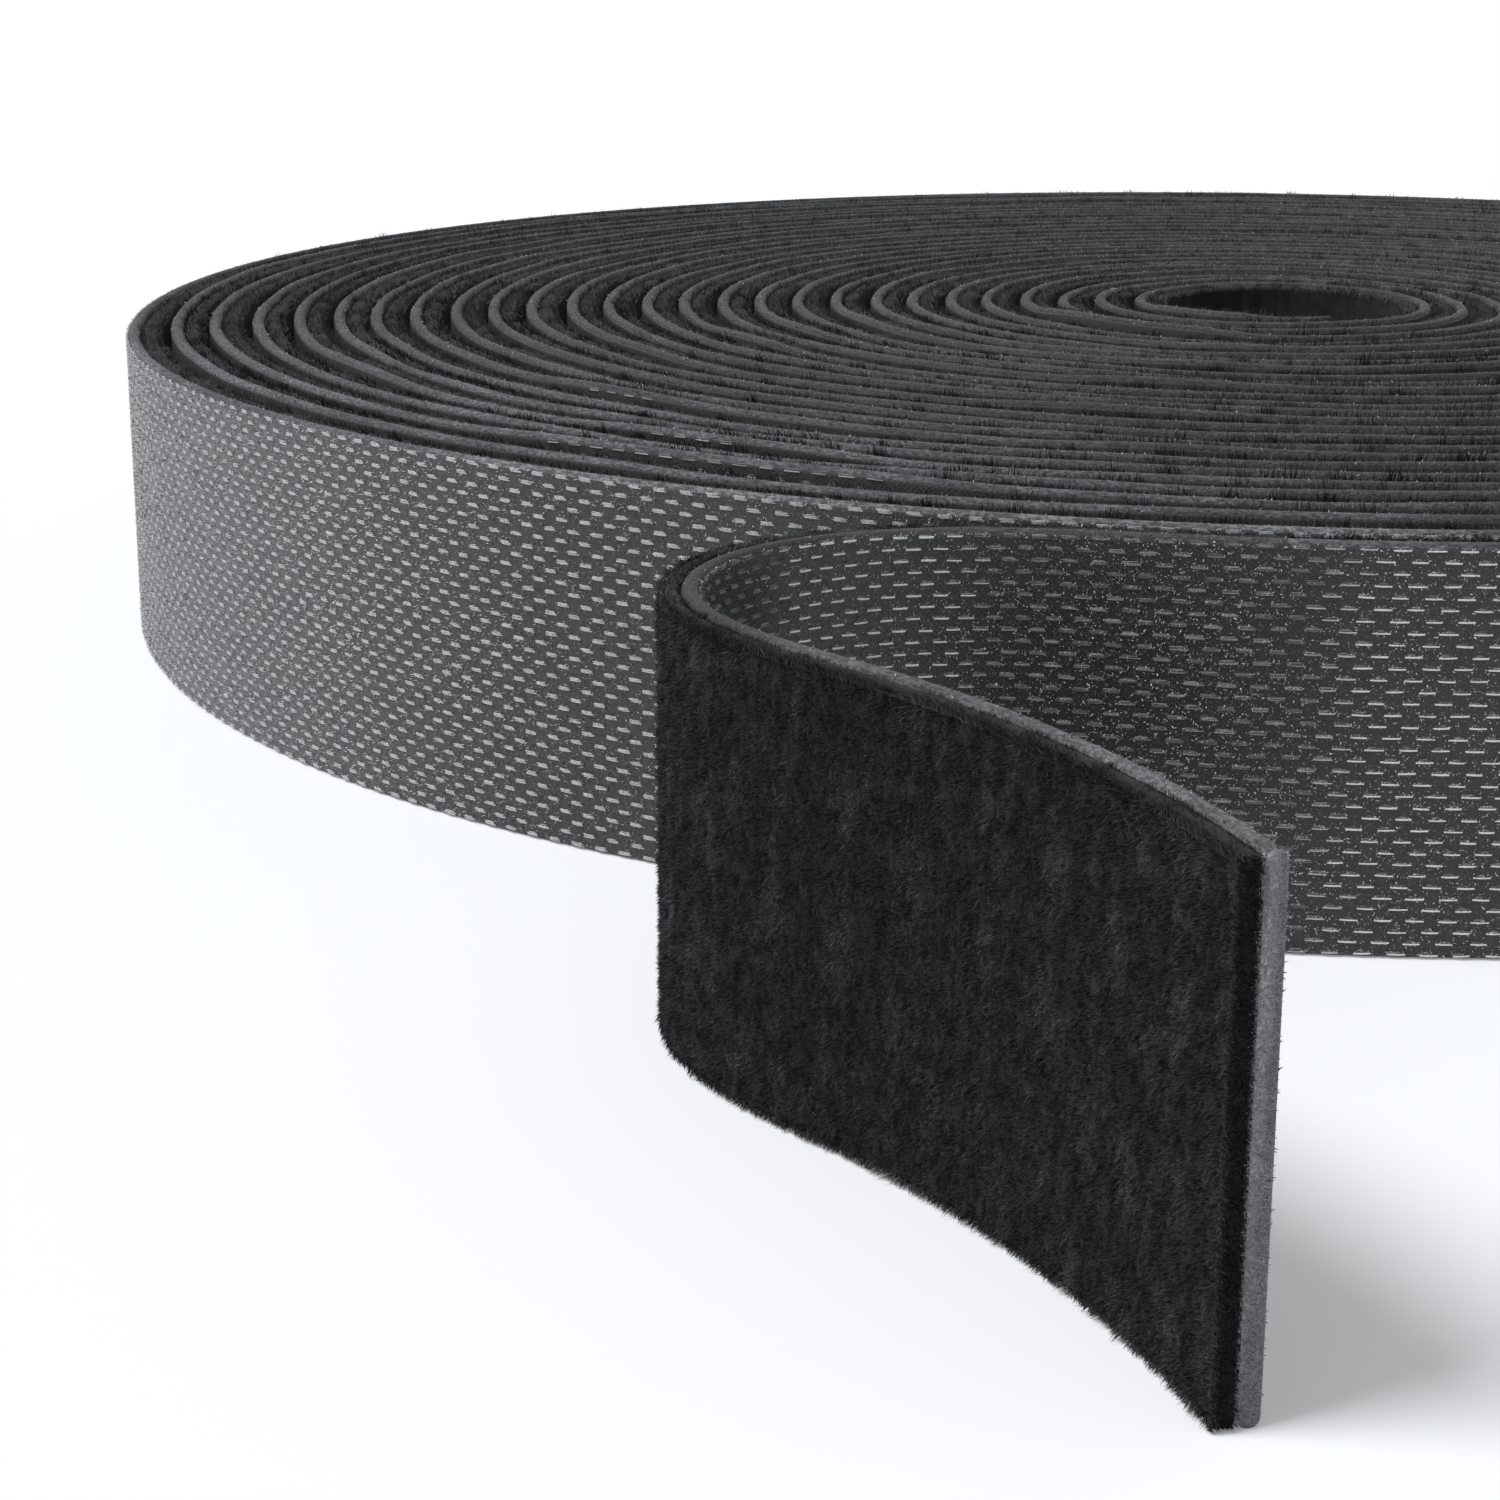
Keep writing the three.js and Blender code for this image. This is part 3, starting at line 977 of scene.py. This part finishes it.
EDGE_PARTS = 3
cuts = np.linspace(START, PEEL_START, EDGE_PARTS + 1)
for part, (start, end) in enumerate(zip(cuts, cuts[1:])):
    on_roll += [
        pile_edge(f"pile_top_roll_{part}", start, end, density=24, seed=50 + part),
        bead_fuzz(f"fuzz_top_roll_{part}", start, end, density=12, seed=80 + part),
    ]
on_peel += [
    pile_edge("pile_top_peel", PEEL_START, PEEL_END, density=90, seed=53),
    pile_face("pile_face_peel", PEEL_START, PEEL_END, density=60, seed=54),
    bead_fuzz("fuzz_top_peel", PEEL_START, PEEL_END, density=30, seed=83),
]
on_free += [
    pile_edge("pile_top_free", PEEL_END, FREE_LENGTH, density=150, seed=55),
    pile_edge("pile_foot_free", PEEL_END, FREE_LENGTH, density=150, seed=56, low=True),
    bead_fuzz("fuzz_top_free", PEEL_END, FREE_LENGTH, density=6, seed=84),
    cut_end(
        "cut_end_hook_web",
        HOOK_BACK - 0.12 * MM,
        HOOK_GROUND - 0.03 * MM,
        reach=0.1 * MM,
        density=420,
        materials=cut_tints,
        seed=61,
    ),
    cut_end(
        "pile_cut_end",
        LOOP_GROUND - 0.15 * MM,
        HOOK_BACK - 0.1 * MM,
        reach=0.25 * MM,
        density=300,
        materials=pile_tints[:PILE_LIGHT],
        seed=62,
    ),
]
FACE_PARTS = 3
cuts = np.linspace(PEEL_END, FREE_LENGTH, FACE_PARTS + 1)
for part, (start, end) in enumerate(zip(cuts, cuts[1:])):
    on_free.append(pile_face(f"pile_face_free_{part}", start, end, density=215, seed=57 + part))

for obj in on_roll:
    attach(obj, "roll")
for obj in on_peel:
    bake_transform(obj)
for obj in on_free:
    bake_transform(obj)
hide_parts("hook_web_roll")
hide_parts("loop_web_roll")
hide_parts("hook_web_lead", "hook_web_bend", "hook_web_tail")
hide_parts("loop_web_lead", "loop_web_bend", "loop_web_tail")


# Floor, light and camera


FLOOR_HALF = 1.5
FLOOR_COLOUR, FLOOR_GLOW_COLOUR = (0.78, 0.80, 0.825), (0.97, 0.985, 1.0)
FLOOR_GLOW = 0.2  # only for rays that are seen, so it adds no diffuse light
SKY = 0.34  # what lights the object; where the sky itself is seen it is white


def seen(m):
    """1 for rays from the camera, also by reflection or through something, and 0 for all others."""
    path = m.add("ShaderNodeLightPath")
    either = path.outputs["Is Camera Ray"]
    for ray in ("Is Glossy Ray", "Is Transmission Ray"):
        either = m.calc("MAXIMUM", either, path.outputs[ray])
    return either


def floor():
    mesh = bpy.data.meshes.new("floor")
    corners = [(x * FLOOR_HALF, y * FLOOR_HALF, 0) for x, y in ((-1, -1), (1, -1), (1, 1), (-1, 1))]
    mesh.from_pydata(corners, [], [(0, 1, 2, 3)])
    obj = bpy.data.objects.new("floor", mesh)
    bpy.context.scene.collection.objects.link(obj)
    m = new_material("floor_white")
    glow = m.add("ShaderNodeEmission", Color=FLOOR_GLOW_COLOUR, Strength=m.times(seen(m), FLOOR_GLOW))
    both = m.add("ShaderNodeAddShader")
    m.in_order(both, m.find("BSDF_PRINCIPLED").outputs[0], glow.outputs[0])
    m.fill(m.find("OUTPUT_MATERIAL"), Surface=both.outputs[0])
    mesh.materials.append(m.finish(Base_Color=FLOOR_COLOUR, Roughness=0.9, Specular_IOR_Level=0.1))


def world():
    studio = bpy.data.worlds.new("studio")
    bpy.context.scene.world = studio
    m = Nodes(studio)
    strength = m.add("ShaderNodeMapRange", Value=seen(m), To_Min=SKY, To_Max=1.0)
    m.fill(m.find("BACKGROUND"), Color=(1, 1, 1), Strength=strength.outputs[0])


KEY_FROM = math.radians(201)  # anticlockwise from +X
KEY_ELEVATION = math.radians(57)
KEY_SPREAD = math.radians(26)
KEY_STRENGTH = 2.6


def key_light():
    """A soft light from the left, a little in front of the roll."""
    data = bpy.data.lights.new("key", "SUN")
    data.energy, data.angle = KEY_STRENGTH, KEY_SPREAD
    obj = bpy.data.objects.new("key", data)
    level = math.cos(KEY_ELEVATION)
    towards = Vector((level * math.cos(KEY_FROM), level * math.sin(KEY_FROM), math.sin(KEY_ELEVATION)))
    obj.rotation_euler = (-towards).to_track_quat("-Z", "Y").to_euler()
    obj.location = towards
    bpy.context.scene.collection.objects.link(obj)


CAMERA_FROM_AXIS = np.array((0, -176.576, 39.247)) * MM
CAMERA_YAW, CAMERA_PITCH, CAMERA_ROLL = math.radians(-9.62), math.radians(15.92), math.radians(0.10)
CAMERA_LENS, CAMERA_SENSOR = 73.46, 36  # millimetres
CAMERA_NEAR = 5 * MM


def camera():
    data = bpy.data.cameras.new("camera")
    data.lens, data.sensor_width, data.sensor_fit = CAMERA_LENS, CAMERA_SENSOR, "AUTO"
    data.clip_start = CAMERA_NEAR
    obj = bpy.data.objects.new("camera", data)
    spot = Vector((*ROLL_AXIS, 0)) + Vector(CAMERA_FROM_AXIS)
    turn = (
        Matrix.Rotation(-CAMERA_YAW, 4, "Z")
        @ Matrix.Rotation(math.radians(90) - CAMERA_PITCH, 4, "X")
        @ Matrix.Rotation(CAMERA_ROLL, 4, "Z")
    )
    obj.matrix_world = Matrix.Translation(spot) @ turn
    bpy.context.scene.collection.objects.link(obj)
    bpy.context.scene.camera = obj


floor()
world()
key_light()
camera()
bpy.context.scene.view_settings.view_transform = "Standard"
